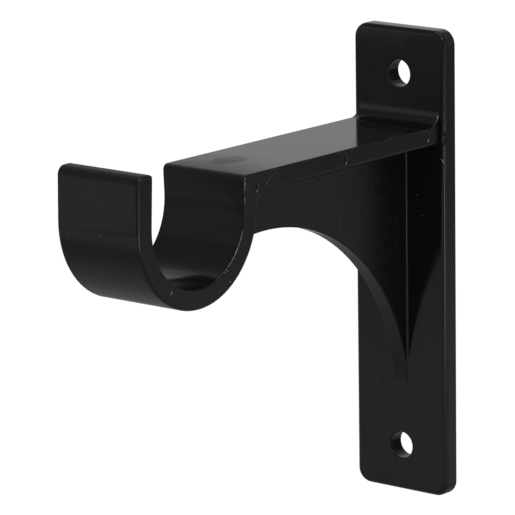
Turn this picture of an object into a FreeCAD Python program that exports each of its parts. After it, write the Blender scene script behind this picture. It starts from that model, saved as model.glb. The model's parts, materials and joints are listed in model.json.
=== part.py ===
import FreeCAD, Part
import math
import os
import Sketcher

# Curtain pole bracket, moulded in one piece of black plastic.
# Frame: the wall is the plane Y = 0, the arm reaches out along -Y, X runs along the pole and Z is up.
# The origin is the middle of the plate's flat back, halfway between the two screw holes.
# Lengths are in millimetres and angles in degrees.

os.makedirs("parts", exist_ok=True)
doc = FreeCAD.newDocument("CurtainPoleBracket")

# Driving sizes
size = {
    # back plate
    "plate_width": 25.0,
    "plate_height": 104.5,
    "plate_thick": 4.0,
    "plate_corner": 3.3,
    "plate_edge": 1.1,
    # screw holes, one near each end of the plate
    "screw_hole": 6.0,
    "screw_margin": 10.25,
    "screw_edge": 0.3,
    # arm: a flat flange, set in from both sides of the plate, with its top below the plate's upper end
    "arm_inset": 1.5,
    "arm_drop": 20.75,
    "flange_thick": 4.2,
    "root_fillet": 3.3,
    "throat_fillet": 3.5,
    "side_edge": 0.7,
    # seat for the pole, measured from the wall and down from the arm's top
    "seat_reach": 84.75,
    "seat_drop": 6.8,
    "seat_radius": 14.5,
    "seat_wall": 4.3,
    "mouth_lean": 2.5,
    "mouth_round": 1.3,
    # lip in front of the pole, higher than the arm; its outer face leans in by the mould's draft
    "lip_rise": 5.05,
    "lip_draft": 1.3,
    "lip_inner_round": 1.2,
    "lip_outer_round": 2.0,
    # centre web: its arch springs from the seat's back, below the arm's top, and lands on the plate,
    # above the plate's lower end
    "web_thick": 3.8,
    "arch_drop": 19.2,
    "foot_margin": 26.55,
    "arch_rise": 18.2,
    "web_fillet": 0.5,
}

sheet = doc.addObject("Spreadsheet::Sheet", "Sizes")
for row, (name, value) in enumerate(size.items(), start=1):
    sheet.set("A%d" % row, name)
    sheet.set("B%d" % row, str(value))
    sheet.setAlias("B%d" % row, name)
doc.recompute()


def origin_plane(body, role):
    """The body's own base plane with this role."""
    for feature in body.Origin.OriginFeatures:
        if feature.Role == role:
            return feature
    raise ValueError(role)


def new_sketch(body, name, role):
    """An empty sketch on one of the body's base planes."""
    sketch = body.newObject("Sketcher::SketchObject", name)
    sketch.AttachmentSupport = [(origin_plane(body, role), "")]
    sketch.MapMode = "FlatFace"
    return sketch


def point(across, up):
    """A point in a sketch."""
    return FreeCAD.Vector(across, up, 0)


def add_line(sketch, start, end):
    """A straight edge; its two ends are points 1 and 2."""
    return sketch.addGeometry(Part.LineSegment(point(*start), point(*end)))


def add_arc(sketch, centre, radius, first, last):
    """An arc from angle first, counterclockwise to angle last, in degrees."""
    circle = Part.Circle(point(*centre), FreeCAD.Vector(0, 0, 1), radius)
    return sketch.addGeometry(Part.ArcOfCircle(circle, math.radians(first), math.radians(last)))


def tie(sketch, kind, *parts):
    """A constraint with no size of its own."""
    sketch.addConstraint(Sketcher.Constraint(kind, *parts))


def drive(sketch, name, formula, kind, *parts):
    """A dimension that follows the sheet."""
    index = sketch.addConstraint(Sketcher.Constraint(kind, *parts))
    sketch.renameConstraint(index, name)
    sketch.setExpression("Constraints." + name, formula)


def on_circle(centre, radius, angle):
    """The point of a circle at an angle in degrees."""
    turn = math.radians(angle)
    return (centre[0] + radius * math.cos(turn), centre[1] + radius * math.sin(turn))


def cut_through(body, name, outline):
    """A cut right through the body, both ways from the sketch."""
    doc.recompute()
    before = body.Shape.Volume
    pocket = body.newObject("PartDesign::Pocket", name)
    pocket.Profile = outline
    pocket.Type = "ThroughAll"
    pocket.Midplane = True
    doc.recompute()
    if body.Shape.Volume >= before:
        raise RuntimeError(name + " cuts nothing")


ORIGIN = (-1, 1)
ARM_TOP = "Sizes.plate_height / 2 - Sizes.arm_drop"
ARM_WIDTH = "Sizes.plate_width - 2 * Sizes.arm_inset"
body = doc.addObject("PartDesign::Body", "Bracket")
body.Label = "bracket"

# Back plate: a rounded rectangle on the wall plane, padded out into the room
half_width = size["plate_width"] / 2
half_height = size["plate_height"] / 2
corner = size["plate_corner"]
inner_x = half_width - corner
inner_z = half_height - corner

plate_outline = new_sketch(body, "PlateOutline", "XZ_Plane")
top = add_line(plate_outline, (inner_x, half_height), (-inner_x, half_height))
left = add_line(plate_outline, (-half_width, inner_z), (-half_width, -inner_z))
bottom = add_line(plate_outline, (-inner_x, -half_height), (inner_x, -half_height))
right = add_line(plate_outline, (half_width, -inner_z), (half_width, inner_z))
corner_top_left = add_arc(plate_outline, (-inner_x, inner_z), corner, 90, 180)
corner_low_left = add_arc(plate_outline, (-inner_x, -inner_z), corner, 180, 270)
corner_low_right = add_arc(plate_outline, (inner_x, -inner_z), corner, 270, 360)
corner_top_right = add_arc(plate_outline, (inner_x, inner_z), corner, 0, 90)
around = [top, corner_top_left, left, corner_low_left, bottom, corner_low_right, right, corner_top_right]
for this, following in zip(around, around[1:] + around[:1]):
    tie(plate_outline, "Tangent", this, 2, following, 1)
for edge in (top, bottom):
    tie(plate_outline, "Horizontal", edge)
for edge in (left, right):
    tie(plate_outline, "Vertical", edge)
for arc in (corner_low_left, corner_low_right, corner_top_right):
    tie(plate_outline, "Equal", corner_top_left, arc)
tie(plate_outline, "Symmetric", corner_top_left, 3, corner_low_right, 3, *ORIGIN)
drive(plate_outline, "width", "Sizes.plate_width", "DistanceX", left, 1, right, 1, 2 * half_width)
drive(plate_outline, "height", "Sizes.plate_height", "DistanceY", bottom, 1, top, 1, 2 * half_height)
drive(plate_outline, "corner", "Sizes.plate_corner", "Radius", corner_top_left, corner)

plate = body.newObject("PartDesign::Pad", "Plate")
plate.Profile = plate_outline
plate.setExpression("Length", "Sizes.plate_thick")

# Side profile of the arm, the seat and the lip, drawn on the middle plane.
# The arm starts inside the plate, so that the two join in full.
thick = size["plate_thick"]
arm_top = half_height - size["arm_drop"]
root = size["root_fillet"]
under = arm_top - size["flange_thick"]
seat = (-size["seat_reach"], arm_top - size["seat_drop"])
bore = size["seat_radius"]
outer = bore + size["seat_wall"]
lean = size["mouth_lean"]
lean_sin = math.sin(math.radians(lean))
lean_cos = math.cos(math.radians(lean))
mouth = size["mouth_round"]
lip_top = arm_top + size["lip_rise"]
lip_out = size["lip_outer_round"]

back_foot = on_circle(seat, bore, lean)
front_foot = on_circle(seat, bore, 180 - lean)
mouth_z = arm_top - mouth
mouth_y = back_foot[0] + (mouth - (mouth_z - back_foot[1]) * lean_sin) / lean_cos
lip_in_y = front_foot[0] + (lip_top - front_foot[1]) * lean_sin / lean_cos
mouth_end = on_circle((mouth_y, mouth_z), mouth, 180 + lean)
draft = size["lip_draft"]
draft_sin = math.sin(math.radians(draft))
draft_cos = math.cos(math.radians(draft))
face_foot = on_circle(seat, outer, 180 - draft)
lip_out_z = lip_top - lip_out
lip_out_y = seat[0] + (lip_out - outer + (lip_out_z - seat[1]) * draft_sin) / draft_cos
face_top = on_circle((lip_out_y, lip_out_z), lip_out, 180 - draft)
throat = size["throat_fillet"]
throat_z = under - throat
throat_y = seat[0] + math.sqrt((outer + throat) ** 2 - (throat_z - seat[1]) ** 2)
throat_angle = math.degrees(math.atan2(throat_z - seat[1], throat_y - seat[0]))
throat_foot = on_circle(seat, outer, throat_angle)

profile = new_sketch(body, "ArmProfile", "YZ_Plane")
root_step = add_line(profile, (-thick / 2, arm_top + root), (-thick, arm_top + root))
root_arc = add_arc(profile, (-thick - root, arm_top + root), root, -90, 0)
arm_line = add_line(profile, (-thick - root, arm_top), (mouth_y, arm_top))
mouth_arc = add_arc(profile, (mouth_y, mouth_z), mouth, 90, 180 + lean)
back_wall = add_line(profile, back_foot, mouth_end)
seat_arc = add_arc(profile, seat, bore, 180 - lean, 360 + lean)
lip_wall = add_line(profile, front_foot, (lip_in_y, lip_top))
lip_line = add_line(profile, (lip_in_y, lip_top), (lip_out_y, lip_top))
lip_out_arc = add_arc(profile, (lip_out_y, lip_out_z), lip_out, 90, 180 - draft)
lip_face = add_line(profile, face_top, face_foot)
outer_arc = add_arc(profile, seat, outer, 180 - draft, 360 + throat_angle)
throat_arc = add_arc(profile, (throat_y, throat_z), throat, 90, 180 + throat_angle)
under_line = add_line(profile, (throat_y, under), (-thick / 2, under))
inside_line = add_line(profile, (-thick / 2, under), (-thick / 2, arm_top + root))

tie(profile, "Coincident", inside_line, 2, root_step, 1)
tie(profile, "Coincident", root_step, 2, root_arc, 2)
tie(profile, "Tangent", root_arc, 1, arm_line, 1)
tie(profile, "Tangent", arm_line, 2, mouth_arc, 1)
tie(profile, "Tangent", mouth_arc, 2, back_wall, 2)
tie(profile, "Tangent", back_wall, 1, seat_arc, 2)
tie(profile, "Tangent", seat_arc, 1, lip_wall, 1)
tie(profile, "Coincident", lip_wall, 2, lip_line, 1)
tie(profile, "Tangent", lip_line, 2, lip_out_arc, 1)
tie(profile, "Tangent", lip_out_arc, 2, lip_face, 1)
tie(profile, "Tangent", lip_face, 2, outer_arc, 1)
tie(profile, "Tangent", outer_arc, 2, throat_arc, 2)
tie(profile, "Tangent", throat_arc, 1, under_line, 1)
tie(profile, "Coincident", under_line, 2, inside_line, 1)
tie(profile, "Coincident", seat_arc, 3, outer_arc, 3)
for edge in (root_step, arm_line, lip_line, under_line):
    tie(profile, "Horizontal", edge)
tie(profile, "Vertical", inside_line)
tie(profile, "Horizontal", root_arc, 3, root_arc, 2)

drive(profile, "start", "Sizes.plate_thick / 2", "DistanceX", root_step, 1, *ORIGIN, thick / 2)
drive(profile, "plate_face", "Sizes.plate_thick", "DistanceX", root_step, 2, *ORIGIN, thick)
drive(profile, "root", "Sizes.root_fillet", "Radius", root_arc, root)
drive(profile, "top", ARM_TOP, "DistanceY", *ORIGIN, arm_line, 1, arm_top)
drive(profile, "flange", "Sizes.flange_thick", "DistanceY", under_line, 2, arm_line, 1, arm_top - under)
drive(profile, "reach", "Sizes.seat_reach", "DistanceX", seat_arc, 3, *ORIGIN, -seat[0])
drive(profile, "drop", "Sizes.seat_drop", "DistanceY", seat_arc, 3, arm_line, 2, arm_top - seat[1])
drive(profile, "bore", "Sizes.seat_radius", "Radius", seat_arc, bore)
drive(profile, "outside", "Sizes.seat_radius + Sizes.seat_wall", "Radius", outer_arc, outer)
drive(profile, "mouth", "Sizes.mouth_round", "Radius", mouth_arc, mouth)
drive(profile, "throat", "Sizes.throat_fillet", "Radius", throat_arc, throat)
drive(profile, "lip_out", "Sizes.lip_outer_round", "Radius", lip_out_arc, lip_out)
drive(profile, "rise", "Sizes.lip_rise", "DistanceY", arm_line, 2, lip_line, 1, lip_top - arm_top)
drive(profile, "lean_back", "(90 + Sizes.mouth_lean) * 1 deg", "Angle", back_wall, math.radians(90 + lean))
drive(profile, "lean_front", "(90 - Sizes.mouth_lean) * 1 deg", "Angle", lip_wall, math.radians(90 - lean))
drive(profile, "lean_face", "(-90 - Sizes.lip_draft) * 1 deg", "Angle", lip_face, math.radians(-90 - draft))

arm = body.newObject("PartDesign::Pad", "ArmAndSeat")
arm.Profile = profile
arm.Midplane = True
arm.setExpression("Length", ARM_WIDTH)

# Centre web: from the seat's wall under the arm, along the arch and down to the plate.
# The arch is one arc between its two ends, raised above the straight line between them.
mid_wall = bore + size["seat_wall"] / 2
mid_flange = arm_top - size["flange_thick"] / 2
arch_start_z = arm_top - size["arch_drop"]
arch_start_y = seat[0] + math.sqrt(outer ** 2 - (arch_start_z - seat[1]) ** 2)
arch_start = (arch_start_y, arch_start_z)
arch_foot = (-thick, size["foot_margin"] - half_height)
rise = size["arch_rise"]
middle = ((arch_start[0] + arch_foot[0]) / 2, (arch_start[1] + arch_foot[1]) / 2)
chord = math.hypot(arch_foot[0] - arch_start[0], arch_foot[1] - arch_start[1])
across = ((arch_start[1] - arch_foot[1]) / chord, (arch_foot[0] - arch_start[0]) / chord)
arch = (chord ** 2 / 4 + rise ** 2) / (2 * rise)
crown = (middle[0] + across[0] * rise, middle[1] + across[1] * rise)
arch_centre = (crown[0] - across[0] * arch, crown[1] - across[1] * arch)
arch_left = math.degrees(math.atan2(arch_start[1] - arch_centre[1], arch_start[0] - arch_centre[0]))
arch_right = math.degrees(math.atan2(arch_foot[1] - arch_centre[1], arch_foot[0] - arch_centre[0]))
wall_low = math.degrees(math.atan2(arch_start[1] - seat[1], arch_start[0] - seat[0]))
wall_high = math.degrees(math.asin((mid_flange - seat[1]) / mid_wall))

web_outline = new_sketch(body, "WebOutline", "YZ_Plane")
web_top = add_line(web_outline, (-thick / 2, mid_flange), on_circle(seat, mid_wall, wall_high))
web_wall = add_arc(web_outline, seat, mid_wall, wall_low, wall_high)
web_through = add_line(web_outline, on_circle(seat, mid_wall, wall_low), arch_start)
web_arch = add_arc(web_outline, arch_centre, arch, arch_right, arch_left)
web_step = add_line(web_outline, arch_foot, (-thick / 2, arch_foot[1]))
web_inside = add_line(web_outline, (-thick / 2, arch_foot[1]), (-thick / 2, mid_flange))
span_line = add_line(web_outline, arch_start, arch_foot)
rise_line = add_line(web_outline, middle, crown)
for guide in (span_line, rise_line):
    web_outline.setConstruction(guide, True)
tie(web_outline, "Coincident", web_top, 2, web_wall, 2)
tie(web_outline, "Coincident", web_wall, 1, web_through, 1)
tie(web_outline, "Coincident", web_through, 2, web_arch, 2)
tie(web_outline, "Coincident", web_arch, 1, web_step, 1)
tie(web_outline, "Coincident", web_step, 2, web_inside, 1)
tie(web_outline, "Coincident", web_inside, 2, web_top, 1)
tie(web_outline, "Coincident", span_line, 1, web_arch, 2)
tie(web_outline, "Coincident", span_line, 2, web_arch, 1)
tie(web_outline, "Symmetric", span_line, 1, span_line, 2, rise_line, 1)
tie(web_outline, "Perpendicular", rise_line, span_line)
tie(web_outline, "PointOnObject", rise_line, 2, web_arch)
tie(web_outline, "PointOnObject", web_wall, 3, web_through)
for edge in (web_top, web_step):
    tie(web_outline, "Horizontal", edge)
tie(web_outline, "Vertical", web_inside)
drive(web_outline, "start", "Sizes.plate_thick / 2", "DistanceX", web_step, 2, *ORIGIN, thick / 2)
drive(web_outline, "plate_face", "Sizes.plate_thick", "DistanceX", web_step, 1, *ORIGIN, thick)
drive(web_outline, "top", ARM_TOP + " - Sizes.flange_thick / 2",
      "DistanceY", *ORIGIN, web_top, 1, mid_flange)
drive(web_outline, "reach", "Sizes.seat_reach", "DistanceX", web_wall, 3, *ORIGIN, -seat[0])
drive(web_outline, "seat", "Sizes.seat_drop - Sizes.flange_thick / 2",
      "DistanceY", web_wall, 3, web_top, 1, mid_flange - seat[1])
drive(web_outline, "wall", "Sizes.seat_radius + Sizes.seat_wall / 2", "Radius", web_wall, mid_wall)
drive(web_outline, "outside", "Sizes.seat_radius + Sizes.seat_wall",
      "Distance", web_wall, 3, web_arch, 2, outer)
drive(web_outline, "arch_drop", "Sizes.arch_drop - Sizes.flange_thick / 2",
      "DistanceY", web_arch, 2, web_top, 1, mid_flange - arch_start[1])
drive(web_outline, "foot", "Sizes.plate_height / 2 - Sizes.foot_margin",
      "DistanceY", web_arch, 1, *ORIGIN, -arch_foot[1])
drive(web_outline, "rise", "Sizes.arch_rise", "Distance", rise_line, 1, rise_line, 2, rise)

web = body.newObject("PartDesign::Pad", "Web")
web.Profile = web_outline
web.Midplane = True
web.setExpression("Length", "Sizes.web_thick")

# Two plain screw holes through the plate, on its centre line
half_pitch = half_height - size["screw_margin"]
hole_radius = size["screw_hole"] / 2
hole_centres = new_sketch(body, "ScrewHoles", "XZ_Plane")
high_hole = hole_centres.addGeometry(Part.Circle(point(0, half_pitch), FreeCAD.Vector(0, 0, 1), hole_radius))
low_hole = hole_centres.addGeometry(Part.Circle(point(0, -half_pitch), FreeCAD.Vector(0, 0, 1), hole_radius))
tie(hole_centres, "Equal", high_hole, low_hole)
tie(hole_centres, "Symmetric", high_hole, 3, low_hole, 3, *ORIGIN)
tie(hole_centres, "PointOnObject", high_hole, 3, -2)
drive(hole_centres, "pitch", "Sizes.plate_height - 2 * Sizes.screw_margin",
      "DistanceY", low_hole, 3, high_hole, 3, 2 * half_pitch)
drive(hole_centres, "bore", "Sizes.screw_hole", "Diameter", high_hole, 2 * hole_radius)

cut_through(body, "ScrewBores", hole_centres)


def near(one, other):
    """Whether two lengths agree to a hundredth of a millimetre."""
    return abs(one - other) < 0.01


def edge_names(shape, wanted):
    """The names of the edges that a test picks, by each edge's box."""
    return ["Edge%d" % n for n, edge in enumerate(shape.Edges, start=1) if wanted(edge.BoundBox, edge)]


def round_edges(name, alias, wanted):
    """A fillet on the chosen edges of the body as it stands."""
    base = body.Tip
    names = edge_names(base.Shape, wanted)
    if not names:
        raise RuntimeError(name + " found no edges")
    fillet = body.newObject("PartDesign::Fillet", name)
    fillet.Base = (base, names)
    fillet.setExpression("Radius", "Sizes." + alias)
    doc.recompute()
    print(name, len(names), "edges", fillet.State, fillet.Shape.isValid(), round(fillet.Shape.Volume, 2))
    return fillet


plate_face = -thick
half_arm = half_width - size["arm_inset"]
half_web = size["web_thick"] / 2


def on_plate_rim(box, edge):
    """The plate's front outline."""
    flat = near(box.YMin, plate_face) and near(box.YMax, plate_face)
    across = near(box.XMax, half_width) or near(box.XMin, -half_width)
    ends = near(box.ZMax, half_height) or near(box.ZMin, -half_height)
    return flat and (across or ends)


def on_screw_rim(box, edge):
    """The front rims of the screw holes."""
    flat = near(box.YMin, plate_face) and near(box.YMax, plate_face)
    return flat and near(box.XMax, hole_radius) and near(box.XMin, -hole_radius)


def on_outer_side(box, edge):
    """The side edges from the lip's top round under the seat and along the flange to the plate."""
    side = near(box.XMin, box.XMax) and near(abs(box.XMax), half_arm)
    lip_end = near(box.ZMin, lip_top) and near(box.ZMax, lip_top)
    under_flange = near(box.ZMax, under) and box.YMax > seat[0] + outer
    return side and (lip_end or under_flange or box.YMin < seat[0] - mid_wall)


def on_web_root(box, edge):
    """The inside corners where the web meets the plate, the arm and the seat."""
    side = near(box.XMin, box.XMax) and near(abs(box.XMax), half_web)
    arched = near(box.YMin, arch_start[0]) and near(box.YMax, plate_face)
    return side and not arched


round_edges("PlateEdges", "plate_edge", on_plate_rim)
round_edges("ScrewEdges", "screw_edge", on_screw_rim)
round_edges("SideEdges", "side_edge", on_outer_side)
round_edges("WebRoots", "web_fillet", on_web_root)

# The lip's inner top edge is rounded by a cut across the arm, after its side edges
lip_in = size["lip_inner_round"]
lip_in_z = lip_top - lip_in
lip_in_centre = lip_in_y - (lip_in + lip_in * lean_sin) / lean_cos
turn_end = on_circle((lip_in_centre, lip_in_z), lip_in, -lean)
lip_cut = new_sketch(body, "LipRound", "YZ_Plane")
cut_top = add_line(lip_cut, (lip_in_centre, lip_top), (lip_in_y, lip_top))
cut_wall = add_line(lip_cut, turn_end, (lip_in_y, lip_top))
cut_arc = add_arc(lip_cut, (lip_in_centre, lip_in_z), lip_in, -lean, 90)
tie(lip_cut, "Coincident", cut_top, 2, cut_wall, 2)
tie(lip_cut, "Tangent", cut_wall, 1, cut_arc, 1)
tie(lip_cut, "Tangent", cut_arc, 2, cut_top, 1)
tie(lip_cut, "Horizontal", cut_top)
drive(lip_cut, "round", "Sizes.lip_inner_round", "Radius", cut_arc, lip_in)
drive(lip_cut, "lean", "(90 - Sizes.mouth_lean) * 1 deg", "Angle", cut_wall, math.radians(90 - lean))
drive(lip_cut, "top", ARM_TOP + " + Sizes.lip_rise", "DistanceY", *ORIGIN, cut_top, 2, lip_top)
drive(lip_cut, "reach", "Sizes.seat_reach + Sizes.seat_radius / cos(Sizes.mouth_lean * 1 deg)"
      " - (Sizes.lip_rise + Sizes.seat_drop) * tan(Sizes.mouth_lean * 1 deg)",
      "DistanceX", cut_top, 2, *ORIGIN, -lip_in_y)
cut_through(body, "LipMouth", lip_cut)

# The finished body is written only when every step worked
for item in doc.Objects:
    if "Invalid" in item.State or "Error" in item.State:
        raise RuntimeError("failed: " + item.Label)
shape = body.Shape
if shape.isNull() or not shape.isValid() or len(shape.Solids) != 1:
    raise RuntimeError("the bracket is not one valid solid")
box = shape.BoundBox
print("bracket", round(box.XLength, 2), round(box.YLength, 2), round(box.ZLength, 2), "volume", round(shape.Volume, 1))
shape.exportStep("parts/bracket.step")
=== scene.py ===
# %% [markdown]
# # A curtain pole bracket in black plastic
# The real bracket is one moulding: a plate that screws to the wall, an arm with a T-shaped section,
# and an open cup that holds the pole. The solid comes from the part's own CAD model and stays the
# frame: nothing here changes its size. This lesson gives it what a solid lacks, such as soft edges, the
# marks that the mould leaves, and a finish that catches the light as moulded plastic does.

# %% Load the frame
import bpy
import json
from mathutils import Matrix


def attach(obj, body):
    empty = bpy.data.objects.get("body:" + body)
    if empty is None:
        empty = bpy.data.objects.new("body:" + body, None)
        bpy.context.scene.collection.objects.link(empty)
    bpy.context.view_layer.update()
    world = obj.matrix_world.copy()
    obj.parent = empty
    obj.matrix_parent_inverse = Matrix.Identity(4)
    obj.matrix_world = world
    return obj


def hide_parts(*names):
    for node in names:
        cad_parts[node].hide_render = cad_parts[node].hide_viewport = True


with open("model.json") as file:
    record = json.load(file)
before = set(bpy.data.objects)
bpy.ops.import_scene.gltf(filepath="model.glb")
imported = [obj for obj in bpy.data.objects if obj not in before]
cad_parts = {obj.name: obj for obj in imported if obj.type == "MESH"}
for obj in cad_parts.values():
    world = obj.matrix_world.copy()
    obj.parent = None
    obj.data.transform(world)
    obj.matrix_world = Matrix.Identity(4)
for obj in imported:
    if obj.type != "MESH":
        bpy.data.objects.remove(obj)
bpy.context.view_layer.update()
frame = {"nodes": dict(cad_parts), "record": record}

# %% Tools and units
import json
import math

import bmesh
import bpy
from mathutils import Matrix, Vector

MM = 0.001
MM_PER_METRE = 1000.0
scene = bpy.context.scene


def at(x, y, z):
    """A point on the part, given in millimetres."""
    return Vector((x, y, z)) * MM


print("one unit is a metre, so a millimetre is", MM)

# %% Sizes of the part
# In metres, from the record
mounts = {mount["name"]: mount for mount in frame["record"]["mounts"]}
seat_centre = Vector(mounts["pole_seat"]["pos_m"])
seat_radius = mounts["pole_seat"]["dims"]["r_mm"] * MM
arm_side = mounts["pole_seat"]["dims"]["length_mm"] / 2 * MM
hole_radius = mounts["wall_screws"]["dims"]["hole_r_mm"] * MM
# In millimetres, from the solid: where faces lie, and half of the web's thickness
PLATE_FRONT = -4.0
LIP_FRONT = -103.5
ARM_TOP = 31.5
HALF_WEB = 1.9
print("seat at", [round(v / MM, 2) for v in seat_centre], "radius", seat_radius / MM)
print("arm side", arm_side / MM, "hole radius", hole_radius / MM)

# %% [markdown]
# ## Camera
# The photograph was taken from far away with a long lens: the plate's upright edges stay almost parallel.
# A camera could be placed by eye, but then every edge would be a little off. Here it stands where a fit
# to the outline of the real bracket puts it, given as a turn about the bracket, a height angle, a small
# roll, and a focal length in pixels of a picture 515 wide.

# %% Camera
PICTURE_WIDTH = 515
FOCAL_PIXELS = 4200
SENSOR_WIDTH = 36
CAMERA_SPOT = at(553.16, -719.16, 203.46)
TURN = math.radians(39.7106)
HEIGHT = math.radians(12.6139)
ROLL = math.radians(-0.8467)

camera_data = bpy.data.cameras.new("photo_camera")
camera_data.sensor_width = SENSOR_WIDTH
camera_data.lens = SENSOR_WIDTH * FOCAL_PIXELS / PICTURE_WIDTH
camera_data.clip_start = 0.05
camera_data.clip_end = 50
camera = bpy.data.objects.new("photo_camera", camera_data)
scene.collection.objects.link(camera)
turned = Matrix.Rotation(TURN, 4, "Z")
raised = Matrix.Rotation(math.pi / 2 - HEIGHT, 4, "X")
rolled = Matrix.Rotation(ROLL, 4, "Z")
camera.matrix_world = Matrix.Translation(CAMERA_SPOT) @ (turned @ raised @ rolled)
scene.camera = camera
print("lens", round(camera_data.lens, 1), "mm")

# %% [markdown]
# ## Helpers for node trees
# Materials, the world and the Geometry Nodes below are all built in code. A few small helpers keep that
# readable: they add a node and set its sockets, make a sum, and make a group with named inputs and outputs.

# %% Node helpers
def add_node(tree, kind, label="", **values):
    """A node in a tree. Values are set on inputs by name, with spaces written as underscores."""
    node = tree.nodes.new(kind)
    node.label = label
    for name, value in values.items():
        node.inputs[name.replace("_", " ")].default_value = value
    return node


def math_node(tree, operation, *terms, clamp=False):
    """One sum. A term is a number or another node's output."""
    node = tree.nodes.new("ShaderNodeMath")
    node.operation = operation
    node.use_clamp = clamp
    for socket, term in zip(node.inputs, terms):
        if isinstance(term, (int, float)):
            socket.default_value = term
        else:
            tree.links.new(term, socket)
    return node.outputs[0]


def new_group(name, kind, inputs, outputs):
    """A node group with named sockets. Each input is (name, socket type, default)."""
    group = bpy.data.node_groups.new(name, kind)
    for label, socket_kind, value in inputs:
        socket = group.interface.new_socket(label, in_out="INPUT", socket_type=socket_kind)
        if value is not None:
            socket.default_value = value
    for label, socket_kind in outputs:
        group.interface.new_socket(label, in_out="OUTPUT", socket_type=socket_kind)
    enter = group.nodes.new("NodeGroupInput")
    leave = group.nodes.new("NodeGroupOutput")
    return group, enter, leave


print("node helpers ready")

# %% [markdown]
# ## Black plastic
# The finish is a semi-gloss black, dyed right through. A flat black with one roughness looks like paint
# on a screen. The real surface mirrors the plate in the arm's top, a little unevenly, so the gloss is high
# and the skin has a very low ripple from the mould. The web, which the mould maker polishes least, has a
# fine grain drawn out along the arm. Hands and poles have rubbed a few places dull. The skin and the
# rubbed places are groups, so that they can be used again with other values.

# %% Skin of a moulding
# How high the ripple stands beside the grain, and how much the grain is drawn out along the arm
RIPPLE_SHARE = 0.82
DRAWN_OUT = 0.3


def build_moulded_skin():
    """Height and gloss changes of a moulded surface, by place on the part. Sizes are in millimetres."""
    group, enter, leave = new_group(
        "moulded_skin", "ShaderNodeTree",
        [("Ripple Size", "NodeSocketFloat", 4.0), ("Grain Size", "NodeSocketFloat", 0.6),
         ("Grain Depth", "NodeSocketFloat", 0.18)],
        [("Height", "NodeSocketFloat"), ("Gloss Change", "NodeSocketFloat")],
    )
    links = group.links
    place = group.nodes.new("ShaderNodeTexCoord")
    along_arm = add_node(group, "ShaderNodeMapping", "drawn out along the arm", Scale=(1.0, DRAWN_OUT, 1.0))
    links.new(place.outputs["Object"], along_arm.inputs["Vector"])
    ripple = add_node(group, "ShaderNodeTexNoise", "ripple", Detail=2.0, Roughness=0.45)
    grain = add_node(group, "ShaderNodeTexNoise", "grain", Detail=3.0, Roughness=0.6)
    links.new(place.outputs["Object"], ripple.inputs["Vector"])
    links.new(along_arm.outputs["Vector"], grain.inputs["Vector"])
    for noise, size in ((ripple, "Ripple Size"), (grain, "Grain Size")):
        links.new(math_node(group, "DIVIDE", MM_PER_METRE, enter.outputs[size]), noise.inputs["Scale"])
    waves = math_node(group, "MULTIPLY", ripple.outputs["Fac"], RIPPLE_SHARE)
    fine = math_node(group, "MULTIPLY", grain.outputs["Fac"], enter.outputs["Grain Depth"])
    links.new(math_node(group, "ADD", waves, fine), leave.inputs["Height"])
    links.new(math_node(group, "SUBTRACT", ripple.outputs["Fac"], 0.5), leave.inputs["Gloss Change"])
    return group


moulded_skin = build_moulded_skin()
print("group", moulded_skin.name)

# %% A rubbed place
# How far the patch's outline wanders, how fine its noise is, and how much of its reach is rubbed fully
WANDER = 0.5
PATCH_NOISE = 650.0
PATCH_CORE = 0.45


def build_rubbed_place():
    """A soft, uneven patch round a place on the part. Centre and Reach are in millimetres."""
    group, enter, leave = new_group(
        "rubbed_place", "ShaderNodeTree",
        [("Centre", "NodeSocketVector", (0.0, 0.0, 0.0)), ("Reach", "NodeSocketVector", (5.0, 5.0, 5.0))],
        [("Patch", "NodeSocketFloat")],
    )
    links = group.links
    place = group.nodes.new("ShaderNodeTexCoord")
    in_mm = group.nodes.new("ShaderNodeVectorMath")
    in_mm.operation = "SCALE"
    in_mm.inputs["Scale"].default_value = MM_PER_METRE
    away = group.nodes.new("ShaderNodeVectorMath")
    away.operation = "SUBTRACT"
    share = group.nodes.new("ShaderNodeVectorMath")
    share.operation = "DIVIDE"
    far = group.nodes.new("ShaderNodeVectorMath")
    far.operation = "LENGTH"
    links.new(place.outputs["Object"], in_mm.inputs[0])
    links.new(in_mm.outputs["Vector"], away.inputs[0])
    links.new(enter.outputs["Centre"], away.inputs[1])
    links.new(away.outputs["Vector"], share.inputs[0])
    links.new(enter.outputs["Reach"], share.inputs[1])
    links.new(share.outputs["Vector"], far.inputs[0])
    uneven = add_node(group, "ShaderNodeTexNoise", "uneven", Scale=PATCH_NOISE, Detail=3.0, Roughness=0.55)
    links.new(place.outputs["Object"], uneven.inputs["Vector"])
    wander = math_node(group, "MULTIPLY_ADD", uneven.outputs["Fac"], WANDER, -WANDER / 2)
    edge = add_node(group, "ShaderNodeMapRange", "soft edge", From_Min=1.0, From_Max=PATCH_CORE)
    edge.interpolation_type = "SMOOTHSTEP"
    links.new(math_node(group, "ADD", far.outputs["Value"], wander), edge.inputs["Value"])
    links.new(edge.outputs["Result"], leave.inputs["Patch"])
    return group


rubbed_place = build_rubbed_place()
print("group", rubbed_place.name)

# %% Places that differ in finish
# The web's sides lie near the middle and face sideways
WEB_REACH = (HALF_WEB + 0.15) * MM
WEB_FACING = 0.9
# The wall of a screw hole is dull and dark where it faces sideways and a little up
BESIDE_WEB = (HALF_WEB + 0.3) * MM
HOLE_REACH = hole_radius + 0.02 * MM
DULL_SIDEWAYS = 0.93
DULL_UP = 0.36
DULL_FACING = 0.87
# The arm's top is polished, and loses its polish where it nears the plate
ABOVE_ARM = (ARM_TOP - 0.2) * MM
TOP_START = -5.5 * MM
TOP_FULL = -9.0 * MM


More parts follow.
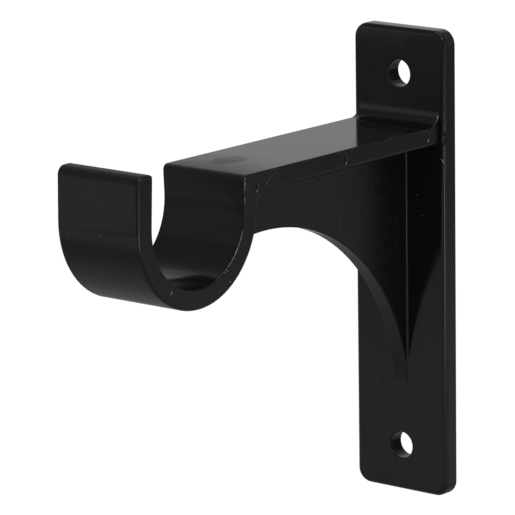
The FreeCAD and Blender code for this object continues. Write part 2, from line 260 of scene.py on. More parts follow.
def find_places(tree):
    """Masks for the web's sides, the dull walls of the screw holes, and the arm's polished top."""
    place = tree.nodes.new("ShaderNodeTexCoord")
    where = tree.nodes.new("ShaderNodeSeparateXYZ")
    facing = tree.nodes.new("ShaderNodeSeparateXYZ")
    tree.links.new(place.outputs["Object"], where.inputs["Vector"])
    tree.links.new(place.outputs["Normal"], facing.inputs["Vector"])
    from_middle = math_node(tree, "ABSOLUTE", where.outputs["X"])
    sideways = math_node(tree, "ABSOLUTE", facing.outputs["X"])

    near_middle = math_node(tree, "LESS_THAN", from_middle, WEB_REACH)
    to_the_side = math_node(tree, "GREATER_THAN", sideways, WEB_FACING)
    on_web = math_node(tree, "MULTIPLY", near_middle, to_the_side)

    beside_web = math_node(tree, "GREATER_THAN", from_middle, BESIDE_WEB)
    within_hole = math_node(tree, "LESS_THAN", from_middle, HOLE_REACH)
    level = math_node(tree, "MULTIPLY", sideways, DULL_SIDEWAYS)
    raised_a_little = math_node(tree, "MULTIPLY_ADD", facing.outputs["Z"], DULL_UP, level)
    dull_side = math_node(tree, "GREATER_THAN", raised_a_little, DULL_FACING)
    in_hole = math_node(tree, "MULTIPLY", math_node(tree, "MULTIPLY", beside_web, within_hole), dull_side)

    above_arm = math_node(tree, "GREATER_THAN", where.outputs["Z"], ABOVE_ARM)
    behind_lip = math_node(tree, "GREATER_THAN", where.outputs["Y"], seat_centre.y)
    fading = add_node(tree, "ShaderNodeMapRange", "arm's top", From_Min=TOP_START, From_Max=TOP_FULL)
    tree.links.new(where.outputs["Y"], fading.inputs["Value"])
    arm_top = math_node(tree, "MULTIPLY", above_arm, behind_lip)
    polished = math_node(tree, "MULTIPLY", arm_top, fading.outputs["Result"])
    return on_web, in_hole, polished


print("web within", round(WEB_REACH / MM, 2), "mm, holes within", round(HOLE_REACH / MM, 2), "mm")

# %% Rubbed places
# Centre, reach and added roughness of the dull places, in millimetres: the end of the arm's top where
# poles are laid in, a sink mark on it, the round between arm and plate, which no polishing tool
# reaches, thumb marks at the plate's upper and lower end, the back of the cup, and the top of the lip,
# where a pole slides.
RUBBED = [
    ((0.0, -78.0, ARM_TOP), (40.0, 30.0, 6.0), 0.19),
    ((-2.0, -59.5, ARM_TOP), (4.0, 7.5, 2.0), 0.10),
    ((0.0, -5.0, 33.4), (18.0, 3.4, 3.6), 0.06),
    ((-0.4, PLATE_FRONT, 49.5), (2.5, 1.0, 3.5), 0.05),
    ((-5.0, PLATE_FRONT, -50.0), (3.5, 1.0, 2.0), 0.05),
    ((0.0, -71.0, 27.0), (36.0, 10.0, 8.0), 0.12),
    ((0.0, -101.0, 36.5), (34.0, 4.0, 1.6), 0.34),
]


def add_rubbed_places(tree, rough):
    """Adds to a roughness in every rubbed place."""
    for centre, reach, added in RUBBED:
        patch = tree.nodes.new("ShaderNodeGroup")
        patch.node_tree = rubbed_place
        patch.inputs["Centre"].default_value = centre
        patch.inputs["Reach"].default_value = reach
        rough = math_node(tree, "MULTIPLY_ADD", patch.outputs["Patch"], added, rough)
    return rough


print("rubbed places", len(RUBBED))

# %% The plastic
BLACK = (0.0055, 0.0055, 0.0057, 1.0)
PLASTIC_IOR = 1.5
ROUGHNESS = 0.145
WEB_ROUGHNESS = 0.3
TOP_ROUGHNESS = 0.11
HOLE_ROUGHNESS = 0.95
GLOSS_SWING = 0.08
SKIN_DEPTH = 0.006 * MM
GRAIN = 1.2
WEB_GRAIN = 24.0


def build_black_plastic():
    """Semi-gloss black plastic, grained on the web, dull in the holes and rubbed in places."""
    material = bpy.data.materials.new("black_plastic_finish")
    material.use_nodes = True
    tree = material.node_tree
    shader = tree.nodes["Principled BSDF"]
    shader.inputs["Base Color"].default_value = BLACK
    shader.inputs["IOR"].default_value = PLASTIC_IOR
    on_web, in_hole, polished = find_places(tree)
    skin = tree.nodes.new("ShaderNodeGroup")
    skin.node_tree = moulded_skin
    grain_depth = math_node(tree, "MULTIPLY_ADD", on_web, WEB_GRAIN - GRAIN, GRAIN)
    tree.links.new(grain_depth, skin.inputs["Grain Depth"])
    rough = math_node(tree, "MULTIPLY_ADD", polished, TOP_ROUGHNESS - ROUGHNESS, ROUGHNESS)
    rough = math_node(tree, "MULTIPLY_ADD", on_web, WEB_ROUGHNESS - ROUGHNESS, rough)
    rough = math_node(tree, "MULTIPLY_ADD", skin.outputs["Gloss Change"], GLOSS_SWING, rough)
    rough = math_node(tree, "MULTIPLY_ADD", in_hole, HOLE_ROUGHNESS - ROUGHNESS, rough)
    tree.links.new(add_rubbed_places(tree, rough), shader.inputs["Roughness"])
    bump = add_node(tree, "ShaderNodeBump", "skin", Strength=1.0, Distance=SKIN_DEPTH)
    tree.links.new(skin.outputs["Height"], bump.inputs["Height"])
    tree.links.new(bump.outputs["Normal"], shader.inputs["Normal"])
    return material


black_plastic = build_black_plastic()
print("material", black_plastic.name)

# %% [markdown]
# ## Torn, scratched, dusty, and painted glints
# Where black plastic is torn or scratched it turns pale, because the broken skin scatters the light. The
# same pale finishes also paint highlight: the glints on the pins' wells and at the end of the round between
# arm and plate, the shine of the flash on the cup's rim and of the burrs round the pins' wells, and a sheen
# on the arch's run-out. One grey for all such marks would be simpler, but the flash's painted shine is
# almost white, and a fine scratch is hardly paler than the skin. So each kind has its own plain finish.

# %% Pale finishes
def build_plain_finish(name, colour, roughness):
    """A plain finish of one colour and one roughness."""
    material = bpy.data.materials.new(name)
    material.use_nodes = True
    shader = material.node_tree.nodes["Principled BSDF"]
    shader.inputs["Base Color"].default_value = colour
    shader.inputs["Roughness"].default_value = roughness
    return material


# Pale grey: the real colour of torn plastic and scratches, and painted highlight on the glints and the
# flash
whitened_plastic = build_plain_finish("whitened_plastic", (0.40, 0.40, 0.41, 1.0), 0.35)
faint_scratch = build_plain_finish("faint_scratch", (0.10, 0.10, 0.10, 1.0), 0.4)
pale_dust = build_plain_finish("pale_dust", (0.22, 0.21, 0.20, 1.0), 0.8)
# Dark grey: a loose fibre's own colour, and painted highlight on the lit side of the pins' burrs
fine_burr = build_plain_finish("fine_burr", (0.05, 0.05, 0.05, 1.0), 0.35)
# A shade paler than the black: painted sheen for the light that the arch's face mirrors near its foot
thin_skin = build_plain_finish("thin_skin", (0.010, 0.010, 0.010, 1.0), 0.2)
pale_finishes = (whitened_plastic, faint_scratch, pale_dust, fine_burr, thin_skin)
print("materials", [finish.name for finish in pale_finishes])

# %% [markdown]
# ## Helpers for pieces
# The meshes below start in three ways: as a shape that is edited face by face, as points or paths that
# Geometry Nodes dress, or as a copy with modifiers. Each could be left live, but a live piece is worked
# out again in every tool that opens it. So all of them end as a plain mesh on an object at the origin.

# %% Piece helpers
def piece_from_shape(name, shape):
    """An object with the mesh that was edited in shape. The shape is freed."""
    mesh = bpy.data.meshes.new(name)
    shape.to_mesh(mesh)
    shape.free()
    piece = bpy.data.objects.new(name, mesh)
    scene.collection.objects.link(piece)
    return piece


def piece_from_points(name, points, edges=(), faces=()):
    """An object with loose points, and edges and faces between them if there are any."""
    mesh = bpy.data.meshes.new(name)
    mesh.from_pydata([tuple(point) for point in points], list(edges), list(faces))
    piece = bpy.data.objects.new(name, mesh)
    scene.collection.objects.link(piece)
    return piece


def use_nodes(piece, group, **values):
    """Puts a Geometry Nodes group on a piece, with its inputs set by name."""
    modifier = piece.modifiers.new(group.name, "NODES")
    modifier.node_group = group
    for item in group.interface.items_tree:
        key = item.name.replace(" ", "_")
        if item.in_out == "INPUT" and key in values:
            modifier[item.identifier] = values[key]


def as_plain_mesh(piece):
    """Replaces a piece's mesh by its evaluated one, and removes its modifiers."""
    bpy.context.view_layer.update()
    finished = piece.evaluated_get(bpy.context.evaluated_depsgraph_get())
    mesh = bpy.data.meshes.new_from_object(finished)
    piece.modifiers.clear()
    piece.data = mesh


print("piece helpers ready")

# %% [markdown]
# ## The moulding's shape
# The CAD solid has the true walls, seat, arch and fillets, but its flat faces meet in knife edges and its
# mesh is loose triangles. Steel moulds have no knife edges, so the real part has a small round, here of
# three tenths of a millimetre, on every edge. A voxel remesh would round them too, but it would ripple
# the flat faces. So a copy of the mesh is welded, its flat faces are joined into single polygons, and its
# sharp outer edges are bevelled.

# %% Weld and tidy a copy of the solid
WELD = 0.0005 * MM
FLAT = math.radians(0.2)
bracket_solid = frame["nodes"]["bracket"]
shell = bmesh.new()
shell.from_mesh(bracket_solid.data)
bmesh.ops.remove_doubles(shell, verts=shell.verts, dist=WELD)
bmesh.ops.dissolve_limit(shell, angle_limit=FLAT, verts=shell.verts, edges=shell.edges)
moulding = piece_from_shape("bracket_moulding", shell)
print("welded:", len(moulding.data.vertices), "points", len(moulding.data.polygons), "faces")

# %% Soften the sharp edges
EDGE_SOFTNESS = 0.3 * MM
EDGE_STEPS = 3
SHARP = math.radians(60)
SHORTEST = 0.13 * MM


def is_sharp(edge):
    """True for an outer edge that is sharp, and long enough to be rounded."""
    if not (edge.is_manifold and edge.is_convex):
        return False
    return edge.calc_face_angle() > SHARP and edge.calc_length() > SHORTEST


shell = bmesh.new()
shell.from_mesh(moulding.data)
sharp_edges = [edge for edge in shell.edges if is_sharp(edge)]
bmesh.ops.bevel(
    shell, geom=sharp_edges, offset=EDGE_SOFTNESS, offset_type="OFFSET", segments=EDGE_STEPS,
    profile=0.5, affect="EDGES", clamp_overlap=False, loop_slide=True,
)
shell.to_mesh(moulding.data)
shell.free()
print("softened", len(sharp_edges), "edges")

# %% [markdown]
# ## Marks of the ejector pins
# When the mould opens, four steel pins push the bracket out by its side. Each leaves a round well in the
# arm's side face, a fifth of a millimetre deep. They could be painted on, but a painted ring doesn't
# catch the light on its far wall. So blunt pins with a rounded rim are set on four points and cut from
# the moulding. A knock on the plate's front edge is cut in the same way.

# %% A pin on each point
PIN_FACETS = 48


def build_pin_cutters():
    """Flattened balls with blunt ends that lie along X, one on each point."""
    group, enter, leave = new_group(
        "pin_cutters", "GeometryNodeTree",
        [("Geometry", "NodeSocketGeometry", None), ("Pin Radius", "NodeSocketFloat", 1.5 * MM),
         ("Well Depth", "NodeSocketFloat", 0.2 * MM)],
        [("Geometry", "NodeSocketGeometry")],
    )
    links = group.links
    radius = enter.outputs["Pin Radius"]
    depth = enter.outputs["Well Depth"]
    ball = add_node(
        group, "GeometryNodeMeshUVSphere", "ball", Segments=PIN_FACETS, Rings=PIN_FACETS, Radius=1.0,
    )
    size = group.nodes.new("ShaderNodeCombineXYZ")
    dome = group.nodes.new("GeometryNodeTransform")
    links.new(radius, size.inputs["X"])
    links.new(radius, size.inputs["Y"])
    links.new(math_node(group, "MULTIPLY", depth, 2.0), size.inputs["Z"])
    links.new(size.outputs["Vector"], dome.inputs["Scale"])
    links.new(ball.outputs["Mesh"], dome.inputs["Geometry"])
    spot = group.nodes.new("GeometryNodeInputPosition")
    where = group.nodes.new("ShaderNodeSeparateXYZ")
    capped = group.nodes.new("ShaderNodeCombineXYZ")
    blunt = add_node(group, "GeometryNodeSetPosition", "flat ends")
    links.new(spot.outputs["Position"], where.inputs["Vector"])
    above = math_node(group, "MAXIMUM", where.outputs["Z"], math_node(group, "MULTIPLY", depth, -1.0))
    links.new(where.outputs["X"], capped.inputs["X"])
    links.new(where.outputs["Y"], capped.inputs["Y"])
    links.new(math_node(group, "MINIMUM", above, depth), capped.inputs["Z"])
    links.new(dome.outputs["Geometry"], blunt.inputs["Geometry"])
    links.new(capped.outputs["Vector"], blunt.inputs["Position"])
    put = add_node(group, "GeometryNodeInstanceOnPoints", "one pin on each point")
    put.inputs["Rotation"].default_value = (0.0, math.radians(90), 0.0)
    real = group.nodes.new("GeometryNodeRealizeInstances")
    paint = add_node(group, "GeometryNodeSetMaterial", "plastic", Material=black_plastic)
    links.new(enter.outputs["Geometry"], put.inputs["Points"])
    links.new(blunt.outputs["Geometry"], put.inputs["Instance"])
    links.new(put.outputs["Instances"], real.inputs["Geometry"])
    links.new(real.outputs["Geometry"], paint.inputs["Geometry"])
    links.new(paint.outputs["Geometry"], leave.inputs["Geometry"])
    return group


print("cutter of", PIN_FACETS, "facets ready")

# %% Pins where they stood
# On the arm's side, as (Y, Z) in millimetres
PIN_SPOTS = [(-9.0, 29.8), (-37.6, 29.6), (-67.3, 28.55), (-94.95, 12.05)]
PIN_RADIUS = 1.5 * MM
WELL_DEPTH = 0.2 * MM
pin_places = [Vector((arm_side, y * MM, z * MM)) for y, z in PIN_SPOTS]
pin_cutters = piece_from_points("pin_cutters", pin_places)
use_nodes(pin_cutters, build_pin_cutters(), Pin_Radius=PIN_RADIUS, Well_Depth=WELL_DEPTH)
as_plain_mesh(pin_cutters)
print("pins", len(PIN_SPOTS), "with", len(pin_cutters.data.polygons), "faces")

# %% A knock, and the cuts
KNOCK_SIZE = (1.2 * MM, 1.2 * MM, 2.3 * MM)
KNOCK_SPOT = (12.82 * MM, -4.32 * MM, 28.8 * MM)
knock = bmesh.new()
bmesh.ops.create_icosphere(knock, subdivisions=4, radius=1.0)
bmesh.ops.scale(knock, vec=KNOCK_SIZE, verts=knock.verts)
bmesh.ops.translate(knock, vec=KNOCK_SPOT, verts=knock.verts)
edge_knock = piece_from_shape("edge_knock", knock)

for cutter in (pin_cutters, edge_knock):
    cut = moulding.modifiers.new("cut " + cutter.name, "BOOLEAN")
    cut.operation = "DIFFERENCE"
    cut.solver = "EXACT"
    cut.object = cutter
as_plain_mesh(moulding)
for cutter in (pin_cutters, edge_knock):
    bpy.data.objects.remove(cutter)
print("after the cuts:", len(moulding.data.polygons), "faces")

# %% Finish the moulding
CREASE = math.radians(40)
FLAT_FACE_WEIGHT = 60


def shade(shape):
    """Shades a shape smooth, with a crease where two faces meet at more than a slight angle."""
    for face in shape.faces:
        face.smooth = True
    for edge in shape.edges:
        edge.smooth = edge.calc_face_angle(0.0) < CREASE


shell = bmesh.new()
shell.from_mesh(moulding.data)
shade(shell)
open_edges = [edge for edge in shell.edges if not edge.is_manifold]
shell.to_mesh(moulding.data)
shell.free()
moulding.data.materials.clear()
moulding.data.materials.append(black_plastic)
flat_first = moulding.modifiers.new("flat faces stay flat", "WEIGHTED_NORMAL")
flat_first.keep_sharp = True
flat_first.weight = FLAT_FACE_WEIGHT
as_plain_mesh(moulding)
print("moulding", len(moulding.data.polygons), "faces, open edges", len(open_edges))

# %% [markdown]
# ## Where the arch runs out
# The web's arch doesn't stop at the plate with a corner: it runs out on it in a long, low round, a tenth of
# a millimetre thick. That is too thin for the solid. It could be joined to the moulding, but a union of
# faces that almost touch fails. So it is a small closed wedge of its own, bent along a curve that touches
# the arch above and the plate below. Its colour is a shade paler than the rest: painted sheen for the light
# that the arch's face mirrors down to its foot.

# %% Run-out of the arch
# From the plate up to the arch, as (Y, Z) in millimetres: the low end, the corner that the curve leans
# towards, and the high end
LOW_END = Vector((PLATE_FRONT + 0.01, -28.9))
CORNER = Vector((PLATE_FRONT + 0.01, -25.7))
HIGH_END = Vector((-4.63, -22.55))
INSIDE_PLATE = PLATE_FRONT + 0.6
BENDS = 8
steps = [n / BENDS for n in range(BENDS + 1)]
outline = [LOW_END.lerp(CORNER, t).lerp(CORNER.lerp(HIGH_END, t), t) for t in steps]
outline += [Vector((INSIDE_PLATE, HIGH_END.y)), Vector((INSIDE_PLATE, LOW_END.y))]
count = len(outline)
corners = [at(x, y, z) for x in (-HALF_WEB, HALF_WEB) for y, z in outline]
faces = [tuple(range(count)), tuple(reversed(range(count, 2 * count)))]
faces += [(n, n + count, (n + 1) % count + count, (n + 1) % count) for n in range(count)]
arch_run_out = piece_from_points("arch_run_out", corners, faces=faces)
wedge = bmesh.new()
wedge.from_mesh(arch_run_out.data)
bmesh.ops.recalc_face_normals(wedge, faces=wedge.faces)
shade(wedge)
wedge.to_mesh(arch_run_out.data)
wedge.free()
# Painted sheen: the run-out's paler colour stands in for the light its face mirrors
arch_run_out.data.materials.append(thin_skin)
print("run-out", len(arch_run_out.data.polygons), "faces")

# %% [markdown]
# ## Thin lines on the skin
# Many marks are thin lines that follow a path: the flash, a ragged burr that the mould's joint leaves on
# the cup's rim, the burrs round the pins' wells, the scratches, and a few fibres that lie on the part. The
# glints on the pins' wells and at the root of the arm are thin lines too; they, and the pale colour of the
# flash and of the pins' burrs, are painted highlight. One group makes them all. It sweeps a small circle
# along a path, and a noise and a taper set how thick it is at each place. A drawn texture would be flat at
# the rim, where the burr stands proud and is seen from the side.

# %% A swept line
LINE_STEP = 0.15 * MM
LINE_SIDES = 6
# How sharply the noise parts a ragged line into beads, and the share of its thickness that always stays
BEAD_CONTRAST = 5.0
BEAD_SHIFT = -2.1
THINNEST = 0.04


def build_thin_line():
    """A thin line along a path. Ragged breaks it into beads, and Taper thins its ends."""
    group, enter, leave = new_group(
        "thin_line", "GeometryNodeTree",
        [("Geometry", "NodeSocketGeometry", None), ("Line Radius", "NodeSocketFloat", 0.08 * MM),
         ("Ragged", "NodeSocketFloat", 0.5), ("Bead Length", "NodeSocketFloat", 0.8 * MM),
         ("Taper", "NodeSocketFloat", 1.0), ("Seed", "NodeSocketFloat", 0.0),
         ("Material", "NodeSocketMaterial", None)],
        [("Geometry", "NodeSocketGeometry")],
    )
    links = group.links
    path = group.nodes.new("GeometryNodeMeshToCurve")
    smooth = group.nodes.new("GeometryNodeCurveSplineType")
    smooth.spline_type = "CATMULL_ROM"
    even = group.nodes.new("GeometryNodeResampleCurve")
    even.mode = "LENGTH"
    even.inputs["Length"].default_value = LINE_STEP
    links.new(enter.outputs["Geometry"], path.inputs["Mesh"])
    links.new(path.outputs["Curve"], smooth.inputs["Curve"])
    links.new(smooth.outputs["Curve"], even.inputs["Curve"])
    beads = add_node(group, "ShaderNodeTexNoise", "beads", Detail=2.0, Roughness=0.6)
    beads.noise_dimensions = "4D"
    links.new(enter.outputs["Seed"], beads.inputs["W"])
    links.new(math_node(group, "DIVIDE", 1.0, enter.outputs["Bead Length"]), beads.inputs["Scale"])
    whole = math_node(group, "MULTIPLY_ADD", beads.outputs["Fac"], BEAD_CONTRAST, BEAD_SHIFT, clamp=True)
    loss = math_node(group, "MULTIPLY", math_node(group, "SUBTRACT", 1.0, whole), enter.outputs["Ragged"])
    full = math_node(group, "SUBTRACT", 1.0, loss)
    along = group.nodes.new("GeometryNodeSplineParameter")
    half_turn = math_node(group, "MULTIPLY", along.outputs["Factor"], math.pi)
    thin_ends = math_node(group, "SUBTRACT", 1.0, math_node(group, "SINE", half_turn))
    end_loss = math_node(group, "MULTIPLY", thin_ends, enter.outputs["Taper"])
    taper = math_node(group, "SUBTRACT", 1.0, end_loss)
    share = math_node(group, "MAXIMUM", math_node(group, "MULTIPLY", full, taper), THINNEST)
    thickness = math_node(group, "MULTIPLY", share, enter.outputs["Line Radius"])
    ring = add_node(group, "GeometryNodeCurvePrimitiveCircle", "section", Resolution=LINE_SIDES, Radius=1.0)
    sweep = group.nodes.new("GeometryNodeCurveToMesh")
    sweep.inputs["Fill Caps"].default_value = True
    links.new(even.outputs["Curve"], sweep.inputs["Curve"])
    links.new(ring.outputs["Curve"], sweep.inputs["Profile Curve"])
    links.new(thickness, sweep.inputs["Scale"])
    real = group.nodes.new("GeometryNodeRealizeInstances")
    paint = group.nodes.new("GeometryNodeSetMaterial")
    links.new(sweep.outputs["Mesh"], real.inputs["Geometry"])
    links.new(real.outputs["Geometry"], paint.inputs["Geometry"])
    links.new(enter.outputs["Material"], paint.inputs["Material"])
    links.new(paint.outputs["Geometry"], leave.inputs["Geometry"])
    return group


thin_line = build_thin_line()
print("group", thin_line.name)

# %% Pieces made of lines
def joined_paths(name, paths):
    """One object whose edges run along several paths."""
    points = []
    edges = []
    for path in paths:
        first = len(points)
        points.extend(path)
        edges.extend((n, n + 1) for n in range(first, len(points) - 1))
    return piece_from_points(name, points, edges)


def thin_lines(name, paths, material, radius, ragged=0.0, bead=0.8, taper=1.0, seed=0.0):
    """A piece made of swept lines. Radius and bead are in millimetres."""
    piece = joined_paths(name, paths)
    use_nodes(
        piece, thin_line, Line_Radius=radius * MM, Ragged=ragged, Bead_Length=bead * MM,
        Taper=taper, Seed=seed, Material=material,
    )
    as_plain_mesh(piece)
    print("lines", name, len(piece.data.polygons), "faces")
    return piece


print("line helpers ready")

# %% Places on the skin
# How deep a mark on the cup's rim sits in its rounded edge, in millimetres
RIM_SINK = 0.08
ARC_STEP = 10


def on_side(y, z):
    """A point on the arm's side face, in millimetres."""
    return Vector((arm_side, y * MM, z * MM))


def on_web(y, z):
    """A point on the web's face, in millimetres."""
    return Vector((HALF_WEB * MM, y * MM, z * MM))


def on_rim(angle, out=0.0):
    """A point on the cup's rim, by its angle about the seat's centre. Out is in millimetres."""
    around = math.radians(angle)
    reach = seat_radius + (out + RIM_SINK) * MM
    y = seat_centre.y + reach * math.cos(around)
    z = seat_centre.z + reach * math.sin(around)
    return Vector((arm_side - RIM_SINK * MM, y, z))


def round_pin(spot, first, last):
    """An arc on the rim of a pin's well, between two angles from +Y towards +Z, in degrees."""
    y, z = spot
    reach = PIN_RADIUS / MM
    around = [math.radians(angle) for angle in range(first, last + 1, ARC_STEP)]
    return [on_side(y + reach * math.cos(angle), z + reach * math.sin(angle)) for angle in around]


print("the rim's lowest point", [round(v / MM, 2) for v in on_rim(-90)])

# %% Burrs and flash
upper_pins = PIN_SPOTS[:3]
# The burrs are drawn only on the lit right side of each well, and their grey is painted highlight
lit_burr_arcs = [round_pin(spot, -70, 80) for spot in upper_pins]
glint_arcs = [round_pin(spot, -60, -20) for spot in PIN_SPOTS]
pin_burrs = thin_lines("pin_burrs", lit_burr_arcs, fine_burr, 0.13, ragged=0.3, bead=1.5, taper=0.7)
# Painted glints on the lower right of each well, where the small bright box would shine
pin_glints = thin_lines("pin_glints", glint_arcs, whitened_plastic, 0.12, taper=1.0)
rim_low = [on_rim(angle) for angle in range(-18, -53, -2)]
rim_high = [on_side(-70.0, 31.1), on_side(-70.05, 30.0), on_side(-70.15, 28.3)]
rim_middle = [on_side(-70.2, 26.8), on_side(-70.25, 25.3)]
# The flash and its beads are real burrs, and their near-white colour is painted highlight
rim_flash = thin_lines(
    "rim_flash", [rim_low], whitened_plastic, 0.11, ragged=0.55, bead=1.2, taper=0.5, seed=2.0,
)
rim_beads = thin_lines(
    "rim_beads", [rim_high, rim_middle], whitened_plastic, 0.12, ragged=0.95, bead=0.7, taper=0.3, seed=4.0,
)

# %% Scratches and fibres
scratch_path = [at(11.45, PLATE_FRONT, 24.3), at(11.95, -3.85, 23.7), at(12.2, -3.65, 23.0)]
edge_scratch = thin_lines("edge_scratch", [scratch_path], whitened_plastic, 0.10, taper=0.8)
# A painted glint at the end of the round between arm and plate, where the small bright box would shine on
# its edge
glint_path = [at(10.92, -4.14, 34.0), at(10.92, -4.31, 33.5), at(10.92, -4.63, 32.95)]
root_glint = thin_lines("root_glint", [glint_path], whitened_plastic, 0.12, taper=0.9)
fibre_path = [
    on_side(-63.5, 26.9), on_side(-63.4, 28.0), on_side(-62.6, 29.1),
    on_side(-61.4, 30.0), on_side(-59.6, 30.5),
]
side_fibre = thin_lines("side_fibre", [fibre_path], fine_burr, 0.15, ragged=0.3, taper=0.7)
short_path = [on_web(-25.9, 23.0), on_web(-26.5, 22.0), on_web(-26.6, 20.9)]
long_path = [on_web(-27.4, 16.4), on_web(-27.5, 13.5), on_web(-27.4, 10.3)]
web_fibre = thin_lines("web_fibre", [short_path, long_path], faint_scratch, 0.07, ragged=0.4)

# %% [markdown]
# ## Dust
# A black gloss part shows every speck of dust. The specks lie where the photograph shows them, on the web,
# the plate and the lip, and a few crumbs of torn plastic lie on the cup's rim. They could be scattered at
# random, but then they would lie elsewhere. Only the turn and the size of each lump are random, from a
# fixed seed, so that no two are alike and the scene still comes out the same every time.

# %% Specks on points
FULL_TURN = 6.28
# As shares of the speck's radius
SMALLEST = 0.5
LARGEST = 1.2


def random_vector(group, label, least, most):
    """A random vector for each point, with each of its three numbers between least and most."""
    chance = add_node(group, "FunctionNodeRandomValue", label)
    chance.data_type = "FLOAT_VECTOR"
    chance.inputs["Min"].default_value = (least, least, least)
    chance.inputs["Max"].default_value = (most, most, most)
    return chance


def build_dust():
    """A lump of dust on each point."""
    group, enter, leave = new_group(
        "dust_on_points", "GeometryNodeTree",
        [("Geometry", "NodeSocketGeometry", None), ("Speck Radius", "NodeSocketFloat", 0.16 * MM),
         ("Seed", "NodeSocketInt", 3), ("Material", "NodeSocketMaterial", None)],
        [("Geometry", "NodeSocketGeometry")],
    )
    links = group.links
    lump = add_node(group, "GeometryNodeMeshIcoSphere", "lump", Subdivisions=2)
    links.new(enter.outputs["Speck Radius"], lump.inputs["Radius"])
    turn = random_vector(group, "turn", 0.0, FULL_TURN)
    size = random_vector(group, "size", SMALLEST, LARGEST)
    for chance in (turn, size):
        links.new(enter.outputs["Seed"], chance.inputs["Seed"])
    put = add_node(group, "GeometryNodeInstanceOnPoints", "one lump on each point")
    links.new(enter.outputs["Geometry"], put.inputs["Points"])
    links.new(lump.outputs["Mesh"], put.inputs["Instance"])
    links.new(turn.outputs[0], put.inputs["Rotation"])
    links.new(size.outputs[0], put.inputs["Scale"])
    real = group.nodes.new("GeometryNodeRealizeInstances")
    paint = group.nodes.new("GeometryNodeSetMaterial")
    links.new(put.outputs["Instances"], real.inputs["Geometry"])
    links.new(real.outputs["Geometry"], paint.inputs["Geometry"])
    links.new(enter.outputs["Material"], paint.inputs["Material"])
    links.new(paint.outputs["Geometry"], leave.inputs["Geometry"])
    return group


dust_on_points = build_dust()
print("group", dust_on_points.name)

# %% Dust and crumbs
# Places as (X, Z) in millimetres
PLATE_SPECKS = [
    (6.5, 11.0), (10.5, 0.0), (4.9, 15.5), (-6.6, -28.3),
    (0.8, -27.9), (-1.4, -29.8), (-10.5, -34.4), (-3.15, 40.85),
]
LIP_SPECKS = [(-8.0, 22.1), (0.7, 23.4), (9.8, 24.0)]


def specks(name, points, material, radius, seed):
    """A piece made of specks on points. Radius is in millimetres."""
    piece = piece_from_points(name, points)
    use_nodes(piece, dust_on_points, Speck_Radius=radius * MM, Seed=seed, Material=material)
    as_plain_mesh(piece)
    print("specks", name, len(piece.data.polygons), "faces")
    return piece


web_dust = [on_web(-7.9, 10.4), on_web(-7.3, 5.5), on_web(-4.1, -10.3), on_web(-36.3, 17.1)]
plate_dust = [at(x, PLATE_FRONT, z) for x, z in PLATE_SPECKS]
lip_dust = [at(x, LIP_FRONT, z) for x, z in LIP_SPECKS]
dust = specks("dust", web_dust + plate_dust + lip_dust, pale_dust, 0.12, seed=3)
crumb_spots = [on_rim(-54.7), on_rim(-54.6, 0.45), on_rim(-58.0), on_rim(-57.0, 2.9)]
rim_specks = specks("rim_specks", crumb_spots, whitened_plastic, 0.2, seed=5)

# %% [markdown]
# ## Room and floor
# The bracket hangs in a light tent: white behind it for the camera, a pale warm floor well below, and a
# dim room all round, whose ceiling is darker still in front. A picture of a real studio could stand in
# for the room, but a black gloss part shows little but its surroundings, and plain fields of light are
# easier to place. So the floor's brightness in the gloss is a curve over the distance from the part.

# %% Light tent
WHITE = (1.0, 1.0, 1.0, 1.0)
ROOM_LIGHT = 0.26
CEILING_LIGHT = 0.17
# Where the darker ceiling starts and where it is full, by how far a direction points up and back
CEILING_UP = (0.50, 0.65)
CEILING_BACK = (0.24, 0.12)


def build_light_tent():
    """A world that is white for the camera and a dim room for everything else."""
    world = bpy.data.worlds.new("light_tent")
    world.use_nodes = True
    sky = world.node_tree
    sky.nodes.clear()
    seen = sky.nodes.new("ShaderNodeLightPath")
    room = add_node(sky, "ShaderNodeBackground", "room", Color=WHITE)
    white = add_node(sky, "ShaderNodeBackground", "white behind", Color=WHITE, Strength=1.0)
    direction = sky.nodes.new("ShaderNodeTexCoord")
    heading = sky.nodes.new("ShaderNodeSeparateXYZ")
    high_up = add_node(
        sky, "ShaderNodeMapRange", "high up", From_Min=CEILING_UP[0], From_Max=CEILING_UP[1],
    )
    in_front = add_node(
        sky, "ShaderNodeMapRange", "in front", From_Min=CEILING_BACK[0], From_Max=CEILING_BACK[1],
    )
    sky.links.new(direction.outputs["Generated"], heading.inputs["Vector"])
    sky.links.new(heading.outputs["Z"], high_up.inputs["Value"])
    sky.links.new(heading.outputs["Y"], in_front.inputs["Value"])
    ceiling = math_node(sky, "MULTIPLY", high_up.outputs["Result"], in_front.outputs["Result"])
    light = math_node(sky, "MULTIPLY_ADD", ceiling, CEILING_LIGHT - ROOM_LIGHT, ROOM_LIGHT)
    sky.links.new(light, room.inputs["Strength"])
    choose = sky.nodes.new("ShaderNodeMixShader")
    out = sky.nodes.new("ShaderNodeOutputWorld")
    sky.links.new(seen.outputs["Is Camera Ray"], choose.inputs["Fac"])
    sky.links.new(room.outputs["Background"], choose.inputs[1])
    sky.links.new(white.outputs["Background"], choose.inputs[2])
    sky.links.new(choose.outputs["Shader"], out.inputs["Surface"])
    return world


scene.world = build_light_tent()
print("world", scene.world.name)

# %% How bright the floor looks
FLOOR_RADIUS = 3.0
# How bright the floor looks in the gloss, by distance from the part as a share of the radius
FLOOR_LIGHT = [
    (0.0, 0.25), (0.09, 0.27), (0.17, 0.20), (0.31, 0.40), (0.38, 0.37),
    (0.45, 0.30), (0.54, 0.19), (0.66, 0.16), (0.8, 0.22), (1.0, 0.25),
]


